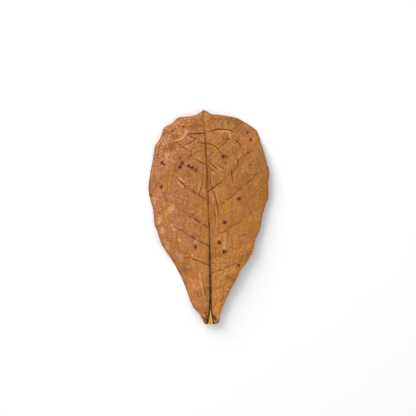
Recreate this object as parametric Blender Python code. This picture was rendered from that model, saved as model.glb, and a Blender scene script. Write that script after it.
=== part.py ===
"""Dried Indian almond leaf, lying on its underside with the upper face showing.

The leaf is one grown piece: a leathery blade with a midrib, side veins, a net of cross veins
between them, two small lobes at the base and the cut stub of the petiole. It is a blade of even
thickness over a low arch with a waved margin, grooved along the veins above and ribbed along
them below.

Sizes are millimetres: x across the leaf, y from the cut stub to the tip, z up from the surface
that it lies on. The mesh is made in metres.
"""

import math
import random

import bpy
import numpy as np
from mathutils import Vector
from mathutils.geometry import delaunay_2d_cdt

MM = 0.001
LENGTH = 180.0
TIP_Y = LENGTH / 2
STUB_Y = -LENGTH / 2

# The margin from the stub to the tip. Its corners are where the dry edge has buckled.
TIP = (-4.3, TIP_Y)
LEFT_MARGIN = [
    (-3.0, STUB_Y), (-4.3, -88.4), (-5.2, -86.0), (-6.9, -83.0), (-8.0, -80.8), (-12.4, -76.8),
    (-13.7, -74.3), (-15.7, -70.0), (-21.2, -55.4), (-26.3, -44.8), (-31.4, -35.8), (-37.7, -26.0),
    (-40.6, -21.0), (-43.4, -11.5), (-45.6, -6.2), (-46.9, 5.8), (-48.7, 11.9), (-50.6, 20.5),
    (-50.8, 27.7), (-49.2, 37.8), (-47.3, 47.3), (-45.6, 57.5), (-44.4, 60.6), (-40.9, 66.1),
    (-38.0, 74.2), (-36.0, 76.0), (-32.2, 77.8), (-28.4, 81.0), (-26.6, 83.0), (-24.0, 83.8),
    (-13.7, 84.9), (-10.0, 86.1), (-7.0, 87.8), TIP,
]
RIGHT_MARGIN = [
    (5.5, STUB_Y), (8.4, -88.8), (9.4, -86.5), (9.8, -81.8), (14.5, -69.8), (18.4, -61.4),
    (23.1, -53.0), (26.7, -45.0), (33.2, -36.6), (37.2, -28.4), (39.4, -19.3), (43.2, -10.4),
    (44.5, -2.5), (46.6, 6.7), (49.4, 13.8), (50.2, 17.5), (50.1, 28.0), (50.9, 38.0),
    (49.5, 43.0), (45.8, 56.3), (43.7, 63.1), (41.6, 70.8), (40.0, 73.6), (32.3, 79.0),
    (25.4, 82.6), (22.0, 83.8), (9.6, 85.8), (2.4, 86.5), (-1.0, 88.4), TIP,
]

# Height of the blade along each margin and along the midrib, as (y, z). Where it would dip below
# the surface that the leaf lies on, the edge is pressed flat instead.
LEFT_MARGIN_HEIGHT = [
    (STUB_Y, 4.8), (-80, 4.6), (-72, 3.0), (-62, 0.2), (-55, -1.4), (-48, -1.6), (-40, -0.2),
    (-31, 2.6), (-20, 4.2), (-6, 2.8), (8, 1.2), (20, -1.4), (30, -1.6), (41, 0.8), (52, 2.4),
    (60, 4.6), (67, 3.6), (75, 5.8), (80, 4.2), (84, 5.2), (TIP_Y, 5.0),
]
RIGHT_MARGIN_HEIGHT = [
    (STUB_Y, 5.2), (-80, 6.2), (-66, 6.8), (-50, 8.2), (-37, 6.8), (-28, 8.0), (-12, 6.0), (0, 6.4),
    (14, 5.2), (27, 6.6), (39, 5.4), (50, 5.8), (61, 3.6), (69, 1.0), (74, -1.8), (78, -1.6), (81, 1.2),
    (84, 4.2), (TIP_Y, 5.0),
]
MIDRIB_HEIGHT = [(STUB_Y, 5.6), (-70, 7.0), (-40, 8.8), (0, 11.2), (35, 11.4), (65, 9.2), (TIP_Y, 5.0)]
ARCH_POWER = 2.2  # how late the blade falls between the midrib and the margin
HALF_SWELL = 1.1  # how far each half stands above that line, which leaves the midrib in a valley

# Side veins: the y where each leaves the midrib, the y where it reaches the margin, and how far
# it bows towards the stub, as a share of its length.
LEFT_VEINS = [
    (-72.0, -57.0, 0.05), (-57.0, -36.0, 0.05), (-40.5, -11.0, 0.07), (-24.5, 8.0, 0.04),
    (-9.3, 27.0, 0.02), (13.6, 48.5, 0.03), (33.0, 62.5, 0.05), (43.0, 73.5, 0.07),
    (60.5, 80.5, 0.05), (73.5, 84.4, 0.05),
]
RIGHT_VEINS = [
    (-76.0, -65.0, 0.05), (-62.0, -50.0, 0.05), (-47.2, -34.0, 0.02), (-35.0, -15.0, 0.06),
    (-19.8, 12.0, 0.015), (1.8, 43.0, 0.01), (21.0, 64.5, 0.045), (36.0, 73.0, 0.05),
    (49.5, 80.0, 0.05), (60.5, 84.0, 0.05), (73.5, 85.8, 0.05),
]
VEIN_STRAY = 0.5
VEIN_STRAY_LENGTH = 11.0

# Folds that dried into the blade, as (height, points): a positive one stands up from it.
FOLDS = [
    (-0.8, [(0.2, 71.6), (4.5, 73.0), (12.1, 73.7), (18.6, 72.0)]),
    (-0.5, [(18.4, 67.2), (23.8, 63.6), (27.0, 58.0)]),
    (-0.8, [(-3.0, 70.0), (-9.6, 69.5), (-16.4, 69.6)]),
    (0.9, [(-28.9, 63.2), (-22.6, 65.2), (-19.4, 68.6), (-19.4, 74.0)]),
    (-0.8, [(-27.8, 34.0), (-24.1, 29.8), (-20.7, 26.8), (-18.8, 23.4)]),
    (-0.5, [(3.4, 21.0), (5.6, 16.0), (7.0, 9.5), (8.6, 2.0)]),
    (0.6, [(-8.6, -46.0), (-7.6, -54.0), (-6.2, -62.0), (-4.4, -68.0)]),
    (0.6, [(15.0, -11.0), (15.6, -18.0), (15.2, -25.0)]),
]
FOLD_HALF_WIDTH = 1.6
FOLD_STEP = 2.6

BLADE_THICKNESS = 0.7
MARGIN_ROLL = 1.2  # how far the edge of the blade turns down, and over what width
MARGIN_ROLL_WIDTH = 4.0

# Midrib: half-width and depth of the rib below the blade at the stub and at the tip.
MIDRIB_HALF_WIDTH = (3.0, 1.2)
MIDRIB_DEPTH = (2.4, 0.4)
MIDRIB_TAPER_POWER = 0.7  # under 1, so that it slims more quickly near the stub
MIDRIB_GROOVE = 0.5
MIDRIB_GROOVE_HALF_WIDTH = 1.5
MIDRIB_STEP = 3.0
RIB_FLANK = 0.6  # where the mesh has a line on the rib's flank, as a share of its half-width
# Near the stub the groove parts in two round the bare upper side of the petiole.
PETIOLE_TOP_Y = -76.5
PETIOLE_HALF_WIDTH = 1.9
PETIOLE_RISE = 0.6
PETIOLE_SHOULDER = 1.2

# Side veins: half-width, groove depth and rib depth at the midrib and at the margin.
VEIN_HALF_WIDTH = (1.4, 1.1)
VEIN_GROOVE = (0.45, 0.12)
VEIN_RIB = (0.9, 0.15)
VEIN_STEP = 3.0

# The net of cross veins, and the blade that stands up a little between all the veins.
CROSS_VEIN_GAP = 6.6
CROSS_VEIN_RIB = 0.4
CROSS_VEIN_HALF_WIDTH = 1.0
CROSS_VEIN_STEP = 2.1
PANEL_RISE = 0.5
PANEL_RADIUS = 4.5
CELL_RISE = 0.5
CELL_RADIUS = 1.8
SEED = 11

# Lobes beside the stub, as (x, y, radius, height).
LOBES = [(-5.0, -83.5, 4.2, 1.3), (7.2, -84.5, 4.0, 1.1)]

# Three places pressed flat where the leaf rests, as (x, y, flat radius, width of the rise round it).
FEET = [(-47.6, 25.0, 2.0, 12.0), (34.6, 74.0, 2.0, 12.0), (-19.6, -51.6, 2.0, 12.0)]

# Spacing of the mesh points along the margin, along the cut end and over the blade.
MARGIN_STEP = 2.4
CUT_STEP = 0.8
BLADE_STEP = 2.75
BLADE_CLEARANCE = 1.8  # least gap from the blade's own points to those on a line
LEAST_INSET = 1.1  # least gap from the margin to the points inside it
SHARP_ANGLE = 50

BLADE_COLOUR = (0.434, 0.174, 0.056, 1.0)
BLADE_ROUGHNESS = 0.55


def midrib_x(y):
    """Where the midrib runs: it bows a little and ends left of the middle at the tip."""
    return 0.15 - 0.0328 * y - 0.000185 * y * y


def evenly_spaced(line, step):
    """The same line with points about step apart."""
    lengths = np.concatenate([[0], np.cumsum(np.linalg.norm(np.diff(line, axis=0), axis=1))])
    count = max(2, round(lengths[-1] / step) + 1)
    at = np.linspace(0, lengths[-1], count)
    return np.stack([np.interp(at, lengths, line[:, k]) for k in range(2)], axis=1)


def smooth_line(points, step):
    """Points about step apart on a smooth curve through the given ones."""
    points = np.array(points, float)
    padded = np.vstack([2 * points[0] - points[1], points, 2 * points[-1] - points[-2]])
    curve = []
    for i in range(len(points) - 1):
        before, start, end, after = padded[i : i + 4]
        for t in np.linspace(0, 1, 16, endpoint=False):
            slope = 0.5 * t * (end - before)
            bend = 0.5 * t**2 * (2 * before - 5 * start + 4 * end - after)
            twist = 0.5 * t**3 * (3 * (start - end) + after - before)
            curve.append(start + slope + bend + twist)
    curve.append(points[-1])
    return evenly_spaced(np.array(curve), step)


def height_along(table, y):
    """A smooth curve through the (y, z) pairs of a table, read at y."""
    curve = smooth_line(table, 1.0)
    return np.interp(y, curve[:, 0], curve[:, 1])


def beside(line, offset):
    """The line moved sideways by offset."""
    along = np.gradient(line, axis=0)
    across = np.stack([-along[:, 1], along[:, 0]], axis=1)
    return line + offset * across / np.linalg.norm(across, axis=1)[:, None]


def side_vein(margin, start_y, end_y, bow, stray_phase):
    """A line from the midrib to the margin that bows towards the stub and strays a little."""
    start = np.array([midrib_x(start_y), start_y])
    end = np.array([np.interp(end_y, margin[:, 1], margin[:, 0]), end_y])
    along = end - start
    length = np.linalg.norm(along)
    towards_stub = np.array([along[1], -along[0]]) * np.sign(along[0]) / length
    t = np.linspace(0, 1, 60)[:, None]
    stray = VEIN_STRAY * np.sin(2 * math.pi * t * length / VEIN_STRAY_LENGTH + stray_phase)
    offset = bow * length * 4 * t * (1 - t) + stray * np.sin(math.pi * t)
    return evenly_spaced(start + along * t + towards_stub * offset, VEIN_STEP)


def cross_vein(lower, upper, share, draw):
    """A bent rung from one side vein to the next, at a share of their lengths."""
    start = lower[round(share * (len(lower) - 1))]
    end = upper[round(share * (len(upper) - 1))]
    gap = end - start
    knee = (start + end) / 2 + np.array([-gap[1], gap[0]]) * draw.uniform(-0.15, 0.15)
    return evenly_spaced(np.array([start, knee, end]), CROSS_VEIN_STEP)


def cross_veins(side_veins, draw):
    """The rungs between each side vein and the next one up."""
    rungs = []
    for lower, upper in zip(side_veins, side_veins[1:]):
        span = (len(lower) + len(upper) - 2) / 2 * VEIN_STEP
        count = max(2, round(span / CROSS_VEIN_GAP))
        for k in range(count):
            share = (k + 0.8 + draw.uniform(-0.25, 0.25)) / (count + 0.6)
            rungs.append(cross_vein(lower, upper, share, draw))
    return rungs


def leaf_lines():
    """Every line that the leaf's shape follows."""
    draw = random.Random(SEED)
    left = smooth_line(LEFT_MARGIN, MARGIN_STEP)
    right = smooth_line(RIGHT_MARGIN, MARGIN_STEP)
    cut = evenly_spaced(np.array([LEFT_MARGIN[0], RIGHT_MARGIN[0]]), CUT_STEP)
    sides = [
        [side_vein(margin, *ends, draw.uniform(0, 2 * math.pi)) for ends in table]
        for margin, table in ((left, LEFT_VEINS), (right, RIGHT_VEINS))
    ]
    return {
        "left": left,
        "right": right,
        "outline": np.vstack([cut[:-1], right, left[::-1][1:-1]]),
        "veins": sides[0] + sides[1],
        "net": cross_veins(sides[0], draw) + cross_veins(sides[1], draw),
        "folds": [(height, smooth_line(points, FOLD_STEP)) for height, points in FOLDS],
    }


def nearest(points, line):
    """Each point's distance to the line, and the share of its length where the line is nearest."""
    starts = line[:-1]
    steps = np.diff(line, axis=0)
    lengths = np.linalg.norm(steps, axis=1)
    offsets = points[:, None, :] - starts[None]
    t = np.clip((offsets * steps).sum(axis=2) / lengths**2, 0, 1)
    gaps = np.linalg.norm(offsets - t[:, :, None] * steps, axis=2)
    best = gaps.argmin(axis=1)
    rows = np.arange(len(points))
    reached = np.concatenate([[0], np.cumsum(lengths)])
    return gaps[rows, best], (reached[best] + t[rows, best] * lengths[best]) / reached[-1]


def bump(distance, half_width):
    """1 on a line, falling smoothly to 0 at half_width from it."""
    return np.cos(np.clip(distance / half_width, 0, 1) * math.pi / 2) ** 2


def rounded(distance, half_width):
    """1 on a line, falling to 0 at half_width from it with a round back."""
    return np.maximum(1 - (distance / half_width) ** 2, 0)


def taper(ends, share):
    return ends[0] + (ends[1] - ends[0]) * share


def from_midrib(points):
    return np.abs(points[:, 0] - midrib_x(points[:, 1]))


def blade_height(points, lines):
    """Height of the middle of the blade's thickness, without its veins."""
    x, y = points.T
    outline = lines["outline"]
    to_midrib = from_midrib(points)
    to_margin, _ = nearest(points, np.vstack([outline, outline[:1]]))
    share = to_midrib / np.maximum(to_midrib + to_margin, 1e-6)
    margin_height = np.where(
        x < midrib_x(y), height_along(LEFT_MARGIN_HEIGHT, y), height_along(RIGHT_MARGIN_HEIGHT, y)
    )
    crest = height_along(MIDRIB_HEIGHT, y)
    height = crest + (margin_height + MARGIN_ROLL - crest) * share**ARCH_POWER
    height += HALF_SWELL * np.sin(math.pi * share)
    height -= MARGIN_ROLL * (1 - np.clip(to_margin / MARGIN_ROLL_WIDTH, 0, 1)) ** 2
    for rise, line in lines["folds"]:
        gap, along = nearest(points, line)
        height += rise * bump(gap, FOLD_HALF_WIDTH) * np.sin(math.pi * along)
    for lobe_x, lobe_y, radius, rise in LOBES:
        height += rise * bump(np.hypot(x - lobe_x, y - lobe_y), radius)
    return height


def midrib_size(ends, y):
    """A size of the midrib at y, from its values at the stub and at the tip."""
    return taper(ends, ((y - STUB_Y) / LENGTH) ** MIDRIB_TAPER_POWER)


def petiole_half_width(y):
    """Half the width of the bare upper side of the petiole, which is 0 above its top."""
    return PETIOLE_HALF_WIDTH * np.clip((PETIOLE_TOP_Y - y) / (PETIOLE_TOP_Y - STUB_Y), 0, 1)


def midrib_relief(points):
    """Depth of the groove above and of the rib below along the midrib."""
    y = points[:, 1]
    to_midrib = from_midrib(points)
    inside_petiole = petiole_half_width(y) - to_midrib
    groove = MIDRIB_GROOVE * bump(np.abs(inside_petiole), MIDRIB_GROOVE_HALF_WIDTH)
    groove -= PETIOLE_RISE * np.clip(inside_petiole / PETIOLE_SHOULDER, 0, 1)
    rib = midrib_size(MIDRIB_DEPTH, y) * rounded(to_midrib, midrib_size(MIDRIB_HALF_WIDTH, y))
    return groove, rib


def vein_relief(points, lines):
    """How far the veins lower the upper face, and how far they lower the under face."""
    groove, rib = midrib_relief(points)
    to_main = from_midrib(points)
    for line in lines["veins"]:
        gap, along = nearest(points, line)
        near = bump(gap, taper(VEIN_HALF_WIDTH, along))
        groove = np.where(near > 0, np.maximum(groove, taper(VEIN_GROOVE, along) * near), groove)
        rib = np.maximum(rib, taper(VEIN_RIB, along) * near)
        to_main = np.minimum(to_main, gap)
    to_net = np.min([nearest(points, line)[0] for line in lines["net"]], axis=0)
    rib = np.maximum(rib, CROSS_VEIN_RIB * bump(to_net, CROSS_VEIN_HALF_WIDTH))
    rise = PANEL_RISE * (1 - np.exp(-((to_main / PANEL_RADIUS) ** 2)))
    rise += CELL_RISE * (1 - np.exp(-((np.minimum(to_main, to_net) / CELL_RADIUS) ** 2)))
    return groove - rise, rib - rise


def faces_height(points, lines):
    """Height of the upper face and of the under face, pressed flat at 0 where the leaf rests."""
    middle = blade_height(points, lines)
    groove, rib = vein_relief(points, lines)
    upper = middle + BLADE_THICKNESS / 2 - groove
    under = middle - BLADE_THICKNESS / 2 - rib
    for foot_x, foot_y, flat_radius, rise_width in FEET:
        distance = np.hypot(points[:, 0] - foot_x, points[:, 1] - foot_y)
        pressed = under * bump(np.maximum(distance - flat_radius, 0), rise_width)
        upper -= pressed
        under -= pressed
    return upper + np.maximum(-under, 0), np.maximum(under, 0)


def spread(families):
    """The points of all families, each as far from the earlier points as its family asks."""
    kept = np.empty((sum(len(points) for points, _ in families), 2))
    count = 0
    for points, least_gap in families:
        for point in points:
            gaps = np.hypot(*(kept[:count] - point).T)
            if gaps.min(initial=np.inf) >= least_gap:
                kept[count] = point
                count += 1
    return kept[:count]


def foot_points(foot_x, foot_y, radius, _):
    """The middle of a foot and a ring of points on the edge of its flat."""
    ring = [
        (foot_x + radius * math.cos(turn), foot_y + radius * math.sin(turn))
        for turn in np.linspace(0, 2 * math.pi, 6, endpoint=False)
    ]
    return np.array([(foot_x, foot_y)] + ring)


def beside_midrib(y, offset):
    return np.stack([midrib_x(y) + offset, y], axis=1)


def midrib_lines():
    """The midrib, both edges of its groove, and lines on both flanks and edges of its rib."""
    y = np.arange(STUB_Y + 2, TIP_Y - 3, MIDRIB_STEP)
    petiole = petiole_half_width(y)
    rib = midrib_size(MIDRIB_HALF_WIDTH, y)
    offsets = [petiole, petiole + MIDRIB_GROOVE_HALF_WIDTH, RIB_FLANK * rib, rib]
    return [beside_midrib(y, 0)] + [beside_midrib(y, side * o) for o in offsets for side in (-1, 1)]


def blade_points(lines):
    """An even spread of points over the whole box of the leaf."""
    rows = np.arange(STUB_Y, TIP_Y, BLADE_STEP * math.sqrt(3) / 2)
    columns = np.arange(lines["left"][:, 0].min(), lines["right"][:, 0].max(), BLADE_STEP)
    return np.array(
        [(x + BLADE_STEP / 2 * (row % 2), y) for row, y in enumerate(rows) for x in columns]
    )


def inside(points, lines):
    """The points that lie well inside the margins."""
    left = np.interp(points[:, 1], lines["left"][:, 1], lines["left"][:, 0])
    right = np.interp(points[:, 1], lines["right"][:, 1], lines["right"][:, 0])
    x, y = points.T
    return points[
        (x > left + LEAST_INSET) & (x < right - LEAST_INSET) & (y > STUB_Y + LEAST_INSET)
    ]


def edges_along(points, lines):
    """Edges between neighbours on each line, among those of its points that were kept."""
    place = {tuple(point): index for index, point in enumerate(points)}
    edges = []
    for line in lines:
        kept = [place[tuple(point)] for point in line if tuple(point) in place]
        edges += zip(kept, kept[1:])
    return edges


def plan_points(lines):
    """The points of the leaf in plan, with the outline's first, and the edges along its veins."""
    midrib = midrib_lines()
    half_width = sum(VEIN_HALF_WIDTH) / 2
    veins = [line[1:-1] for line in lines["veins"]]
    vein_edges = np.vstack([beside(line, side * half_width) for line in veins for side in (-1, 1)])
    folds = np.vstack([line for _, line in lines["folds"]])
    fold_edges = np.vstack(
        [beside(line, side * FOLD_HALF_WIDTH) for _, line in lines["folds"] for side in (-1, 1)]
    )
    feet = np.vstack([foot_points(*foot) for foot in FEET])
    families = [(lines["outline"], 0)] + [
        (inside(points, lines), least_gap)
        for points, least_gap in (
            (midrib[0], 0.8),
            (feet, 0.7),
            (np.vstack(veins), 1.1),
            (np.vstack(midrib[1:]), 0.7),
            (vein_edges, 1.0),
            (folds, 1.3),
            (fold_edges, 1.3),
            (np.vstack(lines["net"]), 1.6),
            (blade_points(lines), BLADE_CLEARANCE),
        )
    ]
    points = spread(families)
    return points, edges_along(points, [midrib[0]] + veins)


def triangles(points, edges, outline_count):
    """The points and the triangles between them, inside the outline and facing up."""
    outline = [(i, (i + 1) % outline_count) for i in range(outline_count)]
    found = delaunay_2d_cdt([Vector(p) for p in points], outline + edges, [], 1, 1e-6)
    return np.array([tuple(p) for p in found[0]]), [tuple(face) for face in found[2]]


def rim_edges(faces):
    """The edges that only one triangle has, each in that triangle's own direction."""
    edges = {(face[k], face[(k + 1) % 3]) for face in faces for k in range(3)}
    return [(a, b) for a, b in edges if (b, a) not in edges]


def leaf_mesh():
    """The closed mesh: the upper face, the same triangles turned over below, and a rim."""
    lines = leaf_lines()
    plan, faces = triangles(*plan_points(lines), len(lines["outline"]))
    upper, under = faces_height(plan, lines)
    middle = (plan.min(axis=0) + plan.max(axis=0)) / 2
    centred = plan - middle
    count = len(plan)
    points = np.vstack(
        [np.column_stack([centred, upper]), np.column_stack([centred, under])]
    )
    below = [(c + count, b + count, a + count) for a, b, c in faces]
    rim = [(b, a, a + count, b + count) for a, b in sorted(rim_edges(faces))]
    mesh = bpy.data.meshes.new("leaf")
    mesh.from_pydata((points * MM).tolist(), [], faces + below + rim)
    mesh.validate()
    mesh.shade_smooth()
    mesh.set_sharp_from_angle(angle=math.radians(SHARP_ANGLE))
    return mesh


def leaf_material():
    material = bpy.data.materials.new("dry leaf")
    material.use_nodes = True
    shader = material.node_tree.nodes["Principled BSDF"]
    shader.inputs["Base Color"].default_value = BLADE_COLOUR
    shader.inputs["Roughness"].default_value = BLADE_ROUGHNESS
    shader.inputs["Metallic"].default_value = 0.0
    return material


def main():
    for old in list(bpy.data.objects):
        bpy.data.objects.remove(old)
    leaf = bpy.data.objects.new("leaf", leaf_mesh())
    leaf.data.materials.append(leaf_material())
    bpy.context.scene.collection.objects.link(leaf)


main()
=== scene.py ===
# Dried indian almond leaf, upper side up: the fine blade, its finish, and the studio it lies in.
# Plan sizes are millimetres, x across the leaf and y from the cut stub to the tip.
import math
import random

import bpy
import numpy as np
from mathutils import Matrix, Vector, noise
from mathutils.geometry import delaunay_2d_cdt


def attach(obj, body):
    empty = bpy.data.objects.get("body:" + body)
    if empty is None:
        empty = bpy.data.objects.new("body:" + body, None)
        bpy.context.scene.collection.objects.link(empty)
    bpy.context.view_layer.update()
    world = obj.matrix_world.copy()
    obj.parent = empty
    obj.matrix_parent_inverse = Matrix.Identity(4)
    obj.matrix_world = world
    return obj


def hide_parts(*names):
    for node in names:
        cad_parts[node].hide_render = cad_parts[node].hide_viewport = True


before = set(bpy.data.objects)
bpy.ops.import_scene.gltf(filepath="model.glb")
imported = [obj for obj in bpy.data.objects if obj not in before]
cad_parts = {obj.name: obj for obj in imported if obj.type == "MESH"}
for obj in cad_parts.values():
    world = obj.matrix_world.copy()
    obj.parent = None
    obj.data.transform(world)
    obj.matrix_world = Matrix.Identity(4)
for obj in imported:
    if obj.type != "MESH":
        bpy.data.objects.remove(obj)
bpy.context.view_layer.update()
mm = 0.001
print("frame loaded:", list(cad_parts))

stubY, tipY = -90.0, 90.0
tip = (-4.3, tipY)

# the outline from the stub to the tip, and how high the edge stands, as (y, z)
margins = {
    "left": [
        (-3.0, stubY), (-4.3, -88.4), (-5.2, -86.0), (-6.9, -83.0), (-8.0, -80.8), (-12.4, -76.8),
        (-13.7, -74.3), (-15.7, -70.0), (-21.2, -55.4), (-26.3, -44.8), (-31.4, -35.8), (-37.7, -26.0),
        (-40.6, -21.0), (-43.4, -11.5), (-45.6, -6.2), (-46.9, 5.8), (-48.7, 11.9), (-50.6, 20.5),
        (-50.8, 27.7), (-49.2, 37.8), (-47.3, 47.3), (-45.6, 57.5), (-44.4, 60.6), (-40.9, 66.1),
        (-38.0, 74.2), (-36.0, 76.0), (-32.2, 77.8), (-28.4, 81.0), (-26.6, 83.0), (-24.0, 83.8),
        (-13.7, 84.9), (-10.0, 86.1), (-7.0, 87.8), tip,
    ],
    "right": [
        (5.5, stubY), (8.4, -88.8), (9.4, -86.5), (9.8, -81.8), (14.5, -69.8), (18.4, -61.4),
        (23.1, -53.0), (26.7, -45.0), (33.2, -36.6), (37.2, -28.4), (39.4, -19.3), (43.2, -10.4),
        (44.5, -2.5), (46.6, 6.7), (49.4, 13.8), (50.2, 17.5), (50.1, 28.0), (50.9, 38.0),
        (49.5, 43.0), (45.8, 56.3), (43.7, 63.1), (41.6, 70.8), (40.0, 73.6), (32.3, 79.0),
        (25.4, 82.6), (22.0, 83.8), (9.6, 85.8), (2.4, 86.5), (-1.0, 88.4), tip,
    ],
    "leftHeight": [
        (stubY, 4.8), (-80, 4.6), (-72, 3.0), (-62, 0.2), (-55, -1.4), (-48, -1.6), (-40, -0.2),
        (-31, 2.6), (-20, 4.2), (-6, 2.8), (8, 1.2), (20, -1.4), (30, -1.6), (41, 0.8), (52, 2.4),
        (60, 4.6), (67, 3.6), (75, 5.8), (80, 4.2), (84, 5.2), (tipY, 5.0),
    ],
    "rightHeight": [
        (stubY, 5.2), (-80, 6.2), (-66, 6.8), (-50, 8.2), (-37, 6.8), (-28, 8.0), (-12, 6.0),
        (0, 6.4), (14, 5.2), (27, 6.6), (39, 5.4), (50, 5.8), (61, 3.6), (69, 1.0), (74, -1.8),
        (78, -1.6), (81, 1.2), (84, 4.2), (tipY, 5.0),
    ],
    "step": 0.45,          # spacing of the outline's points
    "coarseStep": 2.4,     # the same on the line that the side veins end at
    "cutStep": 0.35,       # the same across the cut stub
    "exactWithin": 6.0,    # how near the edge its distance is worked out in full
    "ragged": 0.14,        # small unevenness of the dry edge
    "raggedLength": 2.6,
    "roll": 1.2,           # how far the edge turns down, and over what width
    "rollWidth": 4.0,
    "thinning": 0.13,      # each face draws in by this much at the very edge
    "thinningWidth": 0.9,
}

blade = {
    "crest": [(stubY, 5.6), (-70, 7.0), (-40, 8.8), (0, 11.2), (35, 11.4), (65, 9.2), (tipY, 5.0)],
    "archPower": 2.2,
    "swell": 1.1,
    "thickness": 0.5,
    "underLevel": 0.35,    # depth of the under face below the middle, without its ribs
    "step": 0.575,         # spacing of the even points
    "clearance": 0.34,     # least gap from an even point to any other point
    "lineGap": 0.3,        # the same for points on a vein, and from an even point to the margin
    "panelRise": (0.42, 4.5),   # how far the blade stands up between side veins, and over what
    "cellRise": (0.16, 1.3),    # the same between cross veins
    "cockle": [(0.3, 11.0), (0.17, 4.2), (0.075, 1.7)],   # uneven drying: height, length
    "feet": [(-47.6, 25.0, 2.0, 12.0), (34.6, 74.0, 2.0, 12.0), (-19.6, -51.6, 2.0, 12.0)],
}

veins = {
    # where each leaves the midrib, where it reaches the margin, and its bow as a share of its length
    "left": [
        (-72.0, -57.0, 0.05), (-57.0, -36.0, 0.05), (-40.5, -11.0, 0.07), (-24.5, 8.0, 0.04),
        (-9.3, 27.0, 0.02), (13.6, 48.5, 0.03), (33.0, 62.5, 0.05), (43.0, 73.5, 0.07),
        (60.5, 80.5, 0.05), (73.5, 84.4, 0.05),
    ],
    "right": [
        (-76.0, -65.0, 0.05), (-62.0, -50.0, 0.05), (-47.2, -34.0, 0.02), (-35.0, -15.0, 0.06),
        (-19.8, 12.0, 0.015), (1.8, 43.0, 0.01), (21.0, 64.5, 0.045), (36.0, 73.0, 0.05),
        (49.5, 80.0, 0.05), (60.5, 84.0, 0.05), (73.5, 85.8, 0.05),
    ],
    # how plainly each of them shows, and the share of its length where that fades
    "leftInk": [
        (0.3, 0.5), (0.35, 0.5), (0.9, 0.42), (0.95, 0.6), (0.95, 0.6), (0.85, 0.5), (0.55, 0.6),
        (0.75, 0.3), (0.35, 0.4), (0.1, 0.5),
    ],
    "rightInk": [
        (0.25, 0.5), (0.35, 0.5), (0.85, 0.6), (0.6, 0.35), (0.5, 0.8), (0.6, 0.85), (0.95, 0.5),
        (0.15, 0.4), (0.35, 0.6), (0.15, 0.5), (0.15, 0.5),
    ],
    "stray": 0.5,          # how far a side vein winds off its curve, and over what length
    "strayLength": 11.0,
    "layoutStep": 3.0,     # spacing of the points that the cross veins are hung on
    "fineLayoutStep": 0.8,     # the same for the fine cross veins
    "step": 0.6,
    "crossStep": 1.0,
    "broad": (1.4, 0.22),        # half-width and depth of the shallow valley over a side vein
    "fine": (0.5, 0.2),          # the same of the narrow groove in it
    "rib": (1.4, 1.1, 0.9, 0.15),    # half-widths and depths of the rib below, midrib to margin
    "midribGroove": (1.1, 0.6, 0.5, 0.1),    # half-widths and depths, at the stub and at the tip
    "midribShoulder": (1.9, 1.1, 0.18),    # the ridge beside the groove: distance, half-width, height
    "shoulderFade": (5.0, 12.0),    # how far short of the tip that ridge ends, and how gradually
    # how dark the midrib has dried, as (y, share)
    "midribInk": [
        (stubY, 1.0), (-60, 1.0), (-45, 0.95), (-27, 0.95), (-17, 0.6), (-7, 0.9), (3, 0.4),
        (13, 0.85), (23, 0.4), (33, 0.85), (44, 0.8), (54, 1.0), (60, 0.8), (64, 0.75), (70, 0.6),
        (74, 0.35), (77, 0.4), (80, 0.2), (84, 0.0), (tipY, 0.0),
    ],
    "midribRib": (3.0, 1.2, 2.4, 0.4),
    "taperPower": 0.7,
    "crossGap": 6.6,
    "fineCrossGap": 2.1,
    "crossRib": (1.0, 0.34),
    "fineCrossRib": (0.45, 0.12),
    "fineCrossGroove": (0.4, 0.05),
    "seed": 11,
}

stalk = {
    "topY": -75.5,         # where the pale upper side of the stalk begins, as a wedge
    "halfWidth": 2.2,
    "rise": 0.6,
    "shoulder": 1.2,
    "lobes": [(-5.0, -83.5, 4.2, 1.3), (7.2, -84.5, 4.0, 1.1)],
}

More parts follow.
